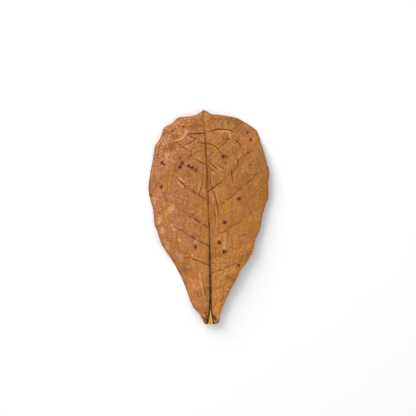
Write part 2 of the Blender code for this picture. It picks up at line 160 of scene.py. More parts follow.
# folds and wrinkles that dried into the blade: height, half-width, then points
wrinkles = [
    # upper right
    (-0.95, 1.1, (-1.2, 70.6), (4, 72.6), (8.9, 73.4), (18, 72.7), (21, 70.4)),
    (0.8, 0.9, (7, 71), (11, 71.7), (16.2, 71.5), (18, 68.9), (18.7, 66.1), (22.9, 64.7)),
    (-0.5, 1.4, (16.6, 68.6), (19.6, 66.2), (22.6, 63.8), (25.6, 61.2), (27.6, 57.4)),
    (-0.4, 0.8, (19.6, 69.8), (22.8, 67.2), (25.6, 64.4), (26.8, 61.8)),
    (0.34, 0.8, (18.7, 77.6), (18.8, 72.8)), (-0.22, 0.8, (16.2, 80.6), (16.3, 75.4)),
    (-0.32, 0.8, (11.8, 82), (12, 76)), (0.36, 0.8, (9.8, 81.6), (9.9, 76.4)),
    (-0.34, 0.5, (1.6, 57.6), (4, 55.8), (6.6, 54.4)),
    (-0.34, 0.5, (1.4, 55.2), (3.6, 53.6), (6, 52.4)),
    (-0.3, 0.5, (2.4, 59.4), (4.6, 57.8), (6.2, 57)),
    (-0.5, 0.8, (17.3, 67.5), (13.8, 62.6), (10.3, 58.4)),
    (-0.85, 0.9, (-7.4, 61.9), (-1, 61.4), (3.6, 59.6), (7.2, 57.2), (9.4, 54.4), (13.2, 50.6)),
    (0.6, 0.9, (-0.2, 59.8), (3.4, 58.8), (6.1, 56.9), (8.8, 54.2)),
    (0.3, 0.7, (1.4, 56.8), (4.2, 55.8), (6.4, 53.6)), (0.55, 0.75, (14.4, 82.8), (14.4, 75.2)),
    (-0.35, 0.7, (10.8, 68.6), (13, 65.4), (17, 63.8)),
    # upper left
    (-0.75, 1.3, (-1.6, 70.6), (-7.6, 69.6), (-13.6, 69.6), (-17.4, 70)),
    (1.2, 1.1, (-19.8, 75.4), (-19.2, 72.8), (-19.4, 68.6), (-22.6, 65.2), (-28.9, 63.2)),
    (0.5, 0.6, (-19, 67.6), (-16, 65.6), (-13.4, 63.6)),
    (0.55, 0.8, (-18.8, 69.6), (-17.6, 71.2), (-14.6, 71.4)),
    (-0.8, 0.9, (-18.4, 69.8), (-14.4, 66.9), (-10.6, 64.6)), (0.3, 0.6, (-14.6, 68.6), (-12.4, 67)),
    (-0.7, 0.8, (-8, 67), (-11.2, 64.8), (-14.4, 62.4), (-17.7, 61.2), (-21.3, 59)),
    (0.42, 0.7, (-9, 64.4), (-12.6, 61.4), (-16, 59)),
    (-0.7, 0.8, (-27.6, 62.6), (-21.3, 58.4), (-17, 54.8)),
    (-0.45, 0.8, (-1, 61.3), (-7.9, 61.9), (-11, 63)),
    (0.5, 0.8, (-13, 53), (-11.4, 50.6), (-7.2, 47.9), (-4.6, 45)),
    (-0.5, 0.9, (-14.2, 51.4), (-10, 53.8), (-5.2, 55.8)),
    (-0.6, 1, (-17.6, 49.8), (-15.2, 51), (-12.6, 51.6)),
    (-0.4, 0.7, (-27, 58), (-31.2, 56), (-33.4, 54.6)),
    (0.5, 0.7, (-20.4, 43.6), (-17.6, 44.8), (-14.6, 45.2)),
    (0.5, 0.7, (-15.4, 46.4), (-12.6, 46.8), (-10.2, 45.6)),
    (0.42, 0.7, (-10.6, 46.2), (-7.6, 44.2), (-4.6, 42.6)),
    (-0.55, 0.7, (-9.8, 47.9), (-6.6, 45.6), (-3.5, 43.4)),
    (0.4, 0.7, (-14, 56.8), (-9, 52.6), (-5.2, 49.2)),
    (-0.5, 0.7, (-21.4, 75.2), (-16, 75.8), (-11, 75.6)),
    (0.36, 0.8, (-40.6, 66), (-36.4, 61.8), (-34.4, 57)),
    # the fan of folds that starts on the midrib
    (-0.7, 0.8, (-0.6, 46.8), (2.2, 44.4), (5.2, 41.9), (8.6, 38.8)),
    (-0.65, 0.8, (-2, 45.2), (0.8, 42.3), (2, 39.5), (4.4, 37.4)),
    (-0.5, 0.8, (7.2, 43.2), (11.1, 40.9), (13.3, 39.4)),
    (0.5, 0.8, (0.4, 44.8), (2.4, 41.6), (4.8, 39)),
    (0.6, 0.8, (2.2, 46), (5.9, 42.8), (8.3, 40.9), (10.4, 39.5), (13, 37.8)),
    (0.5, 0.8, (0.2, 38.6), (3.4, 36.5), (5.5, 35.1), (9, 33.6)),
    (0.36, 0.8, (7.8, 44.9), (10.1, 43.1), (13, 41.6)),
    (-0.45, 0.8, (-0.4, 45.4), (0.8, 47.2), (1.9, 49.4)),
    # beside the midrib
    (-0.8, 0.8, (2.2, 26), (2.8, 22.4), (5.6, 16.4), (7.5, 8.4), (8.9, -1.6)),
    (0.36, 0.8, (4.2, 23.2), (6.9, 17.6), (8.7, 10), (10, 3.6)),
    (-0.45, 0.7, (1, 37), (1.4, 30), (2.4, 23)),
    (0.42, 0.7, (2.6, 36), (3, 30), (3.8, 24.4)),
    (-0.45, 0.6, (2, 16.6), (2, 12), (2.6, 6.9)),
    (0.4, 0.6, (3.3, 16), (3.6, 11), (4.6, 5)),
    (-0.5, 0.7, (4, 12), (5, 5), (5.4, -2), (5.4, -10.4)),
    (0.35, 0.7, (6.8, 2), (6.8, -6), (6.4, -12)),
    (-0.6, 0.7, (-3.8, 35.4), (-4.6, 30), (-6, 25), (-7.8, 19.8), (-7.4, 16), (-4.6, 14)),
    (-0.6, 0.7, (-2.2, 31), (-1.9, 24), (-1.3, 16.6)),
    (0.3, 0.8, (-4, 31.4), (-4.2, 25), (-5.2, 18)),
    (0.5, 0.8, (-6.2, 29), (-7.8, 23), (-9.6, 17.6)),
    # left
    (-0.8, 0.8, (-27.2, 34), (-23.4, 29.6), (-19.9, 26.1), (-19.4, 22.8)),
    (0.8, 1.1, (-25.7, 34), (-22, 30.6), (-18.9, 28)),
    (0.7, 1.2, (-26.4, 29.8), (-23.2, 26.8), (-20.4, 24.2)), (0.4, 0.5, (-36.2, 28.6), (-36.5, 25.2)),
    (0.34, 0.5, (-38.7, 42.8), (-37, 39.6)), (-0.5, 0.8, (-15.4, 22.3), (-12.4, 20.4), (-9.8, 18.2)),
    (-0.5, 0.7, (-28.6, 9.8), (-25.6, 6.9), (-23.2, 4.2)),
    (0.36, 0.8, (-30.4, 8), (-27, 4.6), (-25, 2.6)), (0.3, 0.8, (-33, 30.6), (-31.6, 24)),
    # right
    (-0.65, 0.6, (24.3, 50.6), (24.5, 46), (24.3, 40.4)),
    (-0.5, 0.6, (24, 45.8), (28, 49.4), (31, 52.4), (33.8, 55)),
    (0.3, 0.7, (23, 48), (23.3, 44.2)), (0.3, 0.7, (20.6, 47.6), (20.4, 43.6)),
    (-0.7, 0.8, (18.9, 41.6), (19.3, 35.6), (20.1, 28)), (0.3, 0.8, (21.4, 37.4), (21.6, 29)),
    (-0.36, 0.7, (23.8, 38), (24, 30)), (-0.45, 0.8, (30.4, 25.2), (33.6, 29.4), (36.8, 33)),
    (0.36, 0.7, (32.8, 25.6), (36, 29.6)), (0.36, 0.6, (38.6, 21.6), (42.6, 25.4)),
    (0.36, 0.6, (40.8, 19.6), (45.2, 23.8)), (0.36, 0.6, (37, 24.6), (41.2, 29)),
    # fine lines across the right margin
    (-0.3, 0.45, (40.6, 24.4), (43.8, 24), (47, 24.8)),
    (0.3, 0.45, (41, 23), (44.2, 22.5), (47.4, 23.4)),
    (-0.3, 0.45, (41.4, 21.4), (44.6, 21), (47.6, 21.9)),
    (0.3, 0.45, (40.8, 19.9), (44, 19.5), (47.2, 20.2)),
    (-0.3, 0.45, (41.2, 18.3), (44, 18), (47.4, 18.8)),
    (0.3, 0.45, (40.6, 16.8), (43.6, 16.4), (46.8, 17)),
    (-0.3, 0.45, (40.8, 15.2), (43.6, 14.8), (46.4, 15.5)),
    (0.3, 0.45, (40.2, 13.7), (43, 13.4), (45.8, 14)),
    (-0.36, 0.7, (27.8, 13.5), (31.4, 10.2), (34.8, 5.8), (34.4, 1.4)),
    (-0.3, 0.7, (39.4, 10.4), (37.2, 8), (34.8, 5.8)),
    (0.36, 0.8, (36.6, 6.4), (38.8, 0.8), (41, -6)),
    (-0.36, 0.7, (25.6, -18.2), (31.6, -14.5), (37.4, -12.8)), (0.5, 0.7, (14.4, -12.2), (14.8, -24.2)),
    (0.45, 0.7, (17.4, -13), (17.8, -25.7)), (-0.36, 0.6, (16, -13), (16.3, -24.8)),
    # lower part
    (0.24, 1.5, (-8.9, -44.6), (-7.8, -51), (-6.7, -55.4), (-5.5, -61)),
    (0.28, 1.4, (-6.8, -52.6), (-5.4, -59), (-4.5, -64), (-3.5, -69), (-2.5, -76.6)),
    (-0.5, 0.8, (-6.2, -44.8), (-5, -50.6), (-4.2, -56), (-3.2, -62), (-2.3, -68)),
    (0.3, 1.1, (-4.1, -43.6), (-3.6, -49.6), (-2.9, -55.8), (-2.4, -61)),
    (-0.4, 0.7, (-9.6, -47), (-8, -56)),
    (-0.36, 0.6, (-18.4, -33.5), (-13.4, -34.6), (-9.3, -36.2), (-2, -39)),
    (-0.5, 0.6, (-20.2, -36.6), (-18.8, -34.2), (-15.4, -33.6)),
    (0.6, 0.8, (-15.4, -28), (-13.4, -31), (-11.8, -34.6)),
    (-0.3, 0.6, (-14, -35.4), (-10.4, -37), (-6.4, -39.2)),
    (0.6, 0.7, (-15.4, -29.4), (-12.1, -34.1), (-7, -35.6), (-1.8, -37.2)),
    (-0.42, 0.7, (-28.4, -25.4), (-24.6, -30), (-20.4, -35.6)),
    (0.5, 1, (-27, -28), (-24.4, -32.6), (-22.4, -37.6)),
    (0.4, 0.7, (-10.8, -18), (-9.4, -22.6)),
    # the two lobes beside the stalk
    (-0.5, 0.6, (-6.8, -83.2), (-4.4, -84.6), (-2.4, -87.2)),
    (1.2, 0.9, (-6.4, -85.4), (-3.8, -82.8), (-0.8, -80.4)),
    (1, 0.8, (-5.4, -88), (-3.7, -85.2), (-1.6, -82.8)), (0.6, 0.7, (-3.8, -89.4), (-2.2, -86.2)),
    (-0.36, 0.8, (6, -79), (6.6, -82.6), (6.8, -86.2)),
    (0.42, 0.8, (7.6, -79.6), (8.2, -84), (8, -87.4)),
    (0.8, 0.8, (3.2, -87.3), (5.2, -87.4), (7.4, -87.7)),
]
smallWrinkles = {
    "count": 480, "height": 0.14, "halfWidth": 0.6, "length": (1.6, 6.5), "seed": 5,
    "fromEdge": 4.0, "allAbove": 30.0,   # below that y the right side has half as many
}
# how much of a fold's height is relief, and how wide its painted highlight and shade are and how they fade
# at the ends
folding = {"rise": 0.6, "paintedLightWidth": 0.7, "paintedLightEnds": 0.6}

# stains and specks in the upper side: (x, y, radius)
darkSpots = [
    (-22, 45.1, 1.15), (-16.7, 42.6, 1.1), (-15.3, 41.8, 0.55), (-13.6, 41.1, 1.2),
    (-10.6, 39.4, 1), (-24.1, 41.7, 1.25), (-22.9, 42.6, 0.6), (-24.1, 49.1, 0.55),
    (-39.2, 45.3, 1.3), (-37.5, 43.9, 0.85), (-39.8, 25.1, 1.15), (-49, 18.4, 0.7),
    (-21.1, 75.4, 0.5), (-27, 62.4, 0.35), (12.1, 50.6, 1.3), (14.7, 50.6, 0.65),
    (14.3, 45.1, 0.5), (32.7, 71.1, 0.75), (35.4, 64.8, 0.95), (33, 54, 0.7),
    (34.8, 44.1, 0.5), (49.8, 41.1, 0.8), (25, 15.1, 1.15), (26.4, 15.4, 0.65),
    (5, 2, 0.4), (13.4, -4.5, 1.4), (8.9, -21.3, 1.4), (12.8, -29.1, 1.2),
    (14.6, -28.5, 0.6), (-11, -25.1, 1.05), (-10.8, -27, 0.45), (25.1, -40.3, 1.1),
    (-13.5, 1.8, 0.35), (-24.9, -46.2, 0.6), (33.1, -31.2, 0.3), (-2.4, -80.3, 0.6),
    (-35.4, 15.2, 0.15),
]
brownSpots = [
    (-35.4, 15.2, 1.3), (-31.4, 59, 4.2), (-27.6, 66.4, 2.4), (-11.1, 77.3, 4.6),
    (-17.2, -34.7, 1.4), (-20.6, 75, 2), (41, -18, 1.2), (-43, -0.5, 1),
    (30.9, 36.5, 1.6), (-18, 36, 3), (-36.6, 20, 2.6), (26, 24, 2.2),
    (-31.5, -20, 1.3), (18.6, -51, 3.2), (3, 84, 1.5),
]
# where the two lobes beside the stalk have gone nearly black: (x, y, radius)
baseStains = [
    (-2.2, -86.8, 5.6), (-5.4, -85.2, 3.6), (-2.4, -82.6, 3.8), (4, -84, 2.6), (5.6, -85.8, 2.6),
    (4.3, -88.9, 2.6), (7.9, -88.6, 2.6),
]
# bleached patches: (x, y, half-length, half-width, turn in degrees)
palePatches = [
    (-34.4, 50.6, 5, 3.4, 70), (-38.6, 44, 3, 3, 20), (-31.4, 7.2, 5, 3.2, 50),
    (-41.2, -2.6, 5, 2.8, 75), (-38.6, -11, 4.2, 2.4, 60), (-35.6, -21.4, 3.6, 1.8, -55),
    (-24.4, -33.2, 6.6, 3, -60), (-10.8, -19.4, 3.4, 2.2, 80), (-29, -6, 3.8, 1.8, 30),
    (-34.6, -25.6, 3.6, 1.6, -55),
    (-20, 68.6, 4.6, 1.7, 60), (16.6, 70.9, 3, 1.2, -20), (13.6, -22.8, 4.2, 2, 80),
    (21.9, -44.5, 0.9, 0.7, 0), (-24, 31, 4, 1.2, -45), (-43, 33, 4.6, 2.6, 80),
    (-6, -52, 9, 1.4, -78), (13.6, -64, 2.4, 1.4, 60), (22.4, 45, 3.2, 1, 85),
    (-19, 58.5, 3.2, 1.6, 10), (-17, -42, 4, 1.5, -60), (-44.6, 14, 4, 1.8, 85),
    (-33.4, 4, 3.4, 2.2, 70), (-30.4, 53, 3.2, 2, 10), (-29, -10, 3.6, 2, -40),
    (-23.4, -20, 3, 1.6, -50),
]
# how far stains stray from round, as (length, size), and how far they spread past their radius
staining = {
    "spotStray": (1.1, 0.35), "patchStray": (3.5, 2.2),
    "brownSpread": 1.6, "paleSpread": 1.3, "speckSpread": 1.5,
}
amberSpeck = (-24.1, 70.4, 1.25)
whiteSpeck = (16.0, -60.4, 0.55)
tipEdge = [(-6.0, 88.6), (-4.4, 90.0), (-1.0, 88.3), (0.4, 86.9), (4.2, 86.4)]


def midribX(y):
    # it bows a little and ends left of the middle at the tip
    return 0.15 - 0.0328 * y - 0.000185 * y * y


def evenlySpaced(line, step):
    lengths = np.concatenate([[0], np.cumsum(np.linalg.norm(np.diff(line, axis=0), axis=1))])
    at = np.linspace(0, lengths[-1], max(2, round(lengths[-1] / step) + 1))
    return np.stack([np.interp(at, lengths, line[:, k]) for k in range(2)], axis=1)


def smoothLine(points, step):
    points = np.array(points, float)
    padded = np.vstack([2 * points[0] - points[1], points, 2 * points[-1] - points[-2]])
    curve = []
    for i in range(len(points) - 1):
        before, start, end, after = padded[i : i + 4]
        for t in np.linspace(0, 1, 16, endpoint=False):
            slope = 0.5 * t * (end - before)
            bend = 0.5 * t**2 * (2 * before - 5 * start + 4 * end - after)
            twist = 0.5 * t**3 * (3 * (start - end) + after - before)
            curve.append(start + slope + bend + twist)
    curve.append(points[-1])
    return evenlySpaced(np.array(curve), step)


def heightAlong(table, y):
    curve = smoothLine(table, 1.0)
    return np.interp(y, curve[:, 0], curve[:, 1])


def sideVein(margin, startY, endY, bow, strayPhase, step):
    start = np.array([midribX(startY), startY])
    end = np.array([np.interp(endY, margin[:, 1], margin[:, 0]), endY])
    along = end - start
    length = np.linalg.norm(along)
    towardsStub = np.array([along[1], -along[0]]) * np.sign(along[0]) / length
    t = np.linspace(0, 1, 60)[:, None]
    stray = veins["stray"] * np.sin(2 * math.pi * t * length / veins["strayLength"] + strayPhase)
    offset = bow * length * 4 * t * (1 - t) + stray * np.sin(math.pi * t)
    return evenlySpaced(start + along * t + towardsStub * offset, step)


def crossVeins(sideVeins, gap, draw):
    # bent rungs between each side vein and the next one up, none at the very ends
    rungs = []
    for lower, upper in zip(sideVeins, sideVeins[1:]):
        span = (len(lower) + len(upper) - 2) / 2 * veins["layoutStep"]
        count = max(2, round(span / gap))
        for k in range(count):
            share = (k + 0.8 + draw.uniform(-0.25, 0.25)) / (count + 0.6)
            start = lower[round(share * (len(lower) - 1))]
            end = upper[round(share * (len(upper) - 1))]
            across = end - start
            knee = (start + end) / 2 + np.array([-across[1], across[0]]) * draw.uniform(-0.15, 0.15)
            rungs.append(smoothLine([start, knee, end], veins["crossStep"]))
    return rungs


def ragged(line, inward):
    # the dry edge strays a little inwards from a clean curve, but not at its two ends
    along = np.gradient(line, axis=0)
    across = np.stack([-along[:, 1], along[:, 0]], axis=1)
    across /= np.linalg.norm(across, axis=1)[:, None]
    length = margins["raggedLength"]
    places = [Vector((x / length, y / length, 7.3)) for x, y in line]
    stray = np.array([noise.fractal(spot, 0.7, 2.0, 3) for spot in places])
    number = np.arange(len(line))
    ends = np.minimum(1, np.minimum(number, number[::-1]) / 8)
    return line + inward * across * (margins["ragged"] * np.clip(0.5 + stray, 0, 2) * ends)[:, None]


def leafLines():
    draw = random.Random(veins["seed"])
    coarse = {side: smoothLine(margins[side], margins["coarseStep"]) for side in ("left", "right")}
    sides = []
    for side in ("left", "right"):
        phases = [draw.uniform(0, 2 * math.pi) for _ in veins[side]]
        sides.append([
            [sideVein(coarse[side], *ends, phase, step) for ends, phase in zip(veins[side], phases)]
            for step in (veins["layoutStep"], veins["step"])
        ])
    net = [crossVeins(layout, veins["crossGap"], draw) for layout, _ in sides]
    fineDraw = random.Random(veins["seed"] + 1)
    fineStep = veins["fineLayoutStep"]
    fineLayouts = [[evenlySpaced(line, fineStep) for line in fine] for _, fine in sides]
    fineGap = veins["fineCrossGap"] * veins["layoutStep"] / fineStep
    fineNet = [crossVeins(layout, fineGap, fineDraw) for layout in fineLayouts]
    left, right = [
        ragged(smoothLine(margins[side], margins["step"]), inward)
        for side, inward in (("left", -1), ("right", 1))
    ]
    cut = evenlySpaced(np.array([margins["left"][0], margins["right"][0]]), margins["cutStep"])
    return {
        "left": left,
        "right": right,
        "outline": np.vstack([cut[:-1], right, left[::-1][1:-1]]),
        "veins": sides[0][1] + sides[1][1],
        "ink": np.array(veins["leftInk"] + veins["rightInk"]),
        "net": net[0] + net[1],
        "fineNet": fineNet[0] + fineNet[1],
    }


def nearest(points, line, reach):
    # distance to the line, up to reach, and the share of its length at the nearest place
    gap = np.full(len(points), float(reach))
    share = np.zeros(len(points))
    low, high = line.min(axis=0) - reach, line.max(axis=0) + reach
    close = np.flatnonzero(((points > low) & (points < high)).all(axis=1))
    if not len(close):
        return gap, share
    starts, steps = line[:-1], np.diff(line, axis=0)
    lengths = np.linalg.norm(steps, axis=1)
    offsets = points[close][:, None, :] - starts[None]
    t = np.clip((offsets * steps).sum(axis=2) / lengths**2, 0, 1)
    gaps = np.linalg.norm(offsets - t[:, :, None] * steps, axis=2)
    best = gaps.argmin(axis=1)
    rows = np.arange(len(close))
    reached = np.concatenate([[0], np.cumsum(lengths)])
    gap[close] = np.minimum(gaps[rows, best], reach)
    share[close] = (reached[best] + t[rows, best] * lengths[best]) / reached[-1]
    return gap, share


def nearestOf(points, lines, reach):
    # the same for the nearest of several lines, and which of them it is
    gap = np.full(len(points), float(reach))
    share = np.zeros(len(points))
    which = np.zeros(len(points), int)
    for number, line in enumerate(lines):
        lineGap, lineShare = nearest(points, line, reach)
        share = np.where(lineGap < gap, lineShare, share)
        which = np.where(lineGap < gap, number, which)
        gap = np.minimum(gap, lineGap)
    return gap, share, which


def outlineGap(points, outline):
    # exact near the edge, and from every sixth point of the outline elsewhere
    farthest, stride, runLength = 60.0, 6, 40
    ring = np.vstack([outline, outline[:1]])
    coarseRing = ring[::stride]
    if (len(ring) - 1) % stride:
        coarseRing = np.vstack([coarseRing, ring[-1:]])
    gap, _ = nearest(points, coarseRing, farthest)
    close = gap < margins["exactWithin"]
    runs = [ring[i : i + runLength + 1] for i in range(0, len(ring) - 1, runLength)]
    gap[close] = np.min([nearest(points[close], run, farthest)[0] for run in runs], axis=0)
    return gap


def bump(distance, halfWidth):
    return np.cos(np.clip(distance / halfWidth, 0, 1) * math.pi / 2) ** 2


def taper(first, last, share):
    return first + (last - first) * share


def marginsAt(y, lines):
    return [np.interp(y, lines[side][:, 1], lines[side][:, 0]) for side in ("left", "right")]


def strewnWrinkles(lines):
    # short faint wrinkles all over the blade, mostly along the midrib or along the veins
    kind = smallWrinkles
    draw = random.Random(kind["seed"])
    found = []
    while len(found) < kind["count"]:
        x, y = draw.uniform(-48, 48), draw.uniform(-84, 84)
        left, right = marginsAt(y, lines)
        turn = draw.choice([draw.gauss(math.pi / 2, 0.7), math.copysign(0.8, x) + draw.gauss(0, 0.3)])
        length = draw.uniform(*kind["length"])
        height = kind["height"] * draw.choice([-1, 1]) * draw.uniform(0.5, 1.3)
        bend = draw.uniform(-0.12, 0.12)
        crumpled = y > kind["allAbove"] or x < 0 or draw.random() < 0.5
        if crumpled and left + kind["fromEdge"] < x < right - kind["fromEdge"]:
            along = np.array([math.cos(turn), math.sin(turn)]) * length / 2
            across = np.array([-along[1], along[0]]) * bend * 2
            centre = np.array([x, y])
            found.append((height, kind["halfWidth"], centre - along, centre + across, centre + along))
    return found


def keepApart(families):
    # the points of all families, each as far from the earlier ones as its family asks
    size = blade["step"]
    cells, kept = {}, []
    for points, leastGap in families:
        for x, y in points:
            column, row = int(x // size), int(y // size)
            near = [p for i in (-1, 0, 1) for j in (-1, 0, 1) for p in cells.get((column + i, row + j), ())]
            if all((px - x) ** 2 + (py - y) ** 2 >= leastGap**2 for px, py in near):
                cells.setdefault((column, row), []).append((x, y))
                kept.append((x, y))
    return kept


def planPoints(lines):
    # outline first, then points along the veins, then an even spread between them
    step, lineGap = blade["step"], blade["lineGap"]
    y = np.arange(stubY + 0.6, tipY - 1.5, veins["step"])
    midrib = np.stack([midribX(y), y], axis=1)
    rows = np.arange(stubY, tipY, step * math.sqrt(3) / 2)
    columns = np.arange(-51, 51, step)
    spread = np.array([(x + step / 2 * (row % 2), y) for row, y in enumerate(rows) for x in columns])
    left, right = marginsAt(spread[:, 1], lines)
    inside = (spread[:, 0] > left + lineGap) & (spread[:, 0] < right - lineGap)
    inside &= spread[:, 1] > stubY + lineGap
    trimmed = [line[2:-2] for line in lines["veins"]]
    kept = keepApart([
        (lines["outline"], 0), (midrib, lineGap), (np.vstack(trimmed), lineGap),
        (spread[inside], blade["clearance"]),
    ])
    place = {point: index for index, point in enumerate(kept)}
    count = len(lines["outline"])
    edges = [(i, (i + 1) % count) for i in range(count)]
    for line in [midrib] + trimmed:
        along = [place[tuple(point)] for point in line if tuple(point) in place]
        edges += zip(along, along[1:])
    return kept, edges


def noiseOver(points, length, offset):
    return np.array([noise.noise(Vector((x / length, y / length, offset))) for x, y in points])


def measure(points, lines):
    # every distance that the shape and the colours are worked out from, in millimetres
    x, y = points.T
    found = {"midrib": np.abs(x - midribX(y)), "beside": x - midribX(y)}
    found["midribInk"] = np.clip(heightAlong(veins["midribInk"], y), 0, 1)
    found["edge"] = outlineGap(points, lines["outline"])
    found["vein"], found["veinShare"], which = nearestOf(points, lines["veins"], 10.0)
    strength, reach = lines["ink"][which].T
    found["veinInk"] = strength * np.clip(1.5 - 1.2 * found["veinShare"] / reach, 0.08, 1)
    found["net"] = nearestOf(points, lines["net"], 4.0)[0]
    found["fineNet"] = nearestOf(points, lines["fineNet"], 2.5)[0]
    found["stalk"] = stalkHalfWidth(y) - found["midrib"]
    found["fold"] = np.zeros(len(points))
    # painted highlight on each fold's crest and painted shade in its trough, for the colour only
    found["foldHighlightAndShade"] = np.zeros(len(points))
    for height, halfWidth, *line in wrinkles + strewnWrinkles(lines):
        gap, share = nearest(points, smoothLine(line, 1.0), 3.0)
        ends = np.sin(math.pi * share)
        found["fold"] += folding["rise"] * height * bump(gap, halfWidth) * ends
        found["foldHighlightAndShade"] += height * bump(gap, halfWidth * folding["paintedLightWidth"]) * ends ** folding["paintedLightEnds"]
    return found


def stalkHalfWidth(y):
    return stalk["halfWidth"] * np.clip((stalk["topY"] - y) / (stalk["topY"] - stubY), 0, 1)


def midribSize(first, last, y):
    return taper(first, last, np.clip((y - stubY) / (tipY - stubY), 0, 1) ** veins["taperPower"])


def middleHeight(points, found):
    # height of the middle of the blade, without its veins
    x, y = points.T
    share = found["midrib"] / np.maximum(found["midrib"] + found["edge"], 1e-6)
    edgeHeight = np.where(
        x < midribX(y), heightAlong(margins["leftHeight"], y), heightAlong(margins["rightHeight"], y)
    )
    crest = heightAlong(blade["crest"], y)
    height = crest + (edgeHeight + margins["roll"] - crest) * share ** blade["archPower"]
    height += blade["swell"] * np.sin(math.pi * share)
    height -= margins["roll"] * (1 - np.clip(found["edge"] / margins["rollWidth"], 0, 1)) ** 2
    for lobeX, lobeY, radius, rise in stalk["lobes"]:
        height += rise * bump(np.hypot(x - lobeX, y - lobeY), radius)
    for rise, length in blade["cockle"]:
        height += rise * noiseOver(points, length, 3.7) * np.clip(found["edge"] / 3, 0.25, 1)
    return height + found["fold"]


def grooveDepth(y, found):
    # how far the veins lower the upper side; the stalk and the midrib's shoulders raise it
    firstWidth, lastWidth, firstDepth, lastDepth = veins["midribGroove"]
    width = midribSize(firstWidth, lastWidth, y)
    groove = midribSize(firstDepth, lastDepth, y) * bump(np.abs(found["stalk"]), width)
    groove -= stalk["rise"] * np.clip(found["stalk"] / stalk["shoulder"], 0, 1)
    shoulderGap, shoulderWidth, shoulderRise = veins["midribShoulder"]
    fadeGap, fadeLength = veins["shoulderFade"]
    nearTip = np.clip((tipY - fadeGap - y) / fadeLength, 0, 1)
    groove -= shoulderRise * nearTip * bump(np.abs(found["midrib"] - shoulderGap), shoulderWidth)
    fading = 0.3 + 0.7 * found["veinInk"]
    for halfWidth, depth in (veins["broad"], veins["fine"]):
        groove = np.maximum(groove, depth * fading * bump(found["vein"], halfWidth))
    halfWidth, depth = veins["fineCrossGroove"]
    return groove + depth * bump(found["fineNet"], halfWidth)


def ribDepth(y, found):
    # how far they lower the under side
    firstWidth, lastWidth, firstDepth, lastDepth = veins["midribRib"]
    width = midribSize(firstWidth, lastWidth, y)
    rib = midribSize(firstDepth, lastDepth, y) * np.maximum(1 - (found["midrib"] / width) ** 2, 0)
    firstWidth, lastWidth, firstDepth, lastDepth = veins["rib"]
    width = taper(firstWidth, lastWidth, found["veinShare"])
    rib = np.maximum(rib, taper(firstDepth, lastDepth, found["veinShare"]) * bump(found["vein"], width))
    for name, (halfWidth, depth) in (("net", veins["crossRib"]), ("fineNet", veins["fineCrossRib"])):
        rib = np.maximum(rib, depth * bump(found[name], halfWidth))
    return rib


def cellRise(found):
    # how far the blade stands up between its veins
    panelHeight, panelReach = blade["panelRise"]
    cellHeight, cellReach = blade["cellRise"]
    mainGap = np.minimum(found["midrib"], found["vein"])
    cellGap = np.minimum(mainGap, found["net"])
    rise = panelHeight * (1 - np.exp(-((mainGap / panelReach) ** 2)))
    return rise + cellHeight * (1 - np.exp(-((cellGap / cellReach) ** 2)))


def faceHeights(points, found):
    # both sides of the blade, pressed flat at 0 where the leaf rests
    x, y = points.T
    level = middleHeight(points, found) - blade["underLevel"] + cellRise(found)
    thinning = margins["thinning"] * (1 - np.clip(found["edge"] / margins["thinningWidth"], 0, 1)) ** 2
    upper = level + blade["thickness"] - grooveDepth(y, found) - thinning
    under = level - ribDepth(y, found) + thinning
    for footX, footY, flatRadius, riseWidth in blade["feet"]:
        distance = np.hypot(x - footX, y - footY)
        pressed = under * bump(np.maximum(distance - flatRadius, 0), riseWidth)
        upper, under = upper - pressed, under - pressed
    lifted = np.maximum(-under, 0)
    return upper + lifted, under + lifted


def strayed(points, length, size, offsets):
    return points + np.stack([noiseOver(points, length, offset) for offset in offsets], axis=1) * size


def distanceTo(points, x, y):
    return np.hypot(points[:, 0] - x, points[:, 1] - y)


def patchGap(points, x, y, halfLength, halfWidth, turn):
    # 1 on the rim of a long patch that is turned by some degrees
    dx, dy = points[:, 0] - x, points[:, 1] - y
    cosine, sine = math.cos(math.radians(turn)), math.sin(math.radians(turn))
    return np.hypot((dx * cosine + dy * sine) / halfLength, (dy * cosine - dx * sine) / halfWidth)


def stainFields(points):
    # masks for what is only colour
    near = strayed(points, *staining["spotStray"], (12.0, 31.0))
    wide = strayed(points, *staining["patchStray"], (5.0, 9.0))
    spotGaps = [distanceTo(near, x, y) - radius for x, y, radius in darkSpots]
    browned = [bump(distanceTo(wide, x, y), radius * staining["brownSpread"]) for x, y, radius in brownSpots]
    bleached = [bump(patchGap(wide, *patch), staining["paleSpread"]) for patch in palePatches]
    darkened = [bump(distanceTo(wide, x, y), radius) for x, y, radius in baseStains]
    amberX, amberY, amberRadius = amberSpeck
    whiteX, whiteY, whiteRadius = whiteSpeck
    return {
        "spot": np.minimum(np.min(spotGaps, axis=0), 9.0),
        "brown": np.max(browned, axis=0),
        "pale": np.max(bleached, axis=0),
        "lobe": np.max(darkened, axis=0),
        "amber": bump(distanceTo(near, amberX, amberY), amberRadius * staining["speckSpread"]),
        "white": bump(distanceTo(points, whiteX, whiteY), whiteRadius * staining["speckSpread"]),
        "tipEdge": nearest(points, smoothLine(tipEdge, 0.5), 5.0)[0],
    }


# what the finish reads from the mesh, all in millimetres or as a share
leafFields = [
    "midrib", "beside", "midribInk", "vein", "veinInk", "net", "fineNet", "edge", "stalk", "foldHighlightAndShade",
    "spot", "brown", "pale", "tipEdge", "lobe", "amber", "white",
]


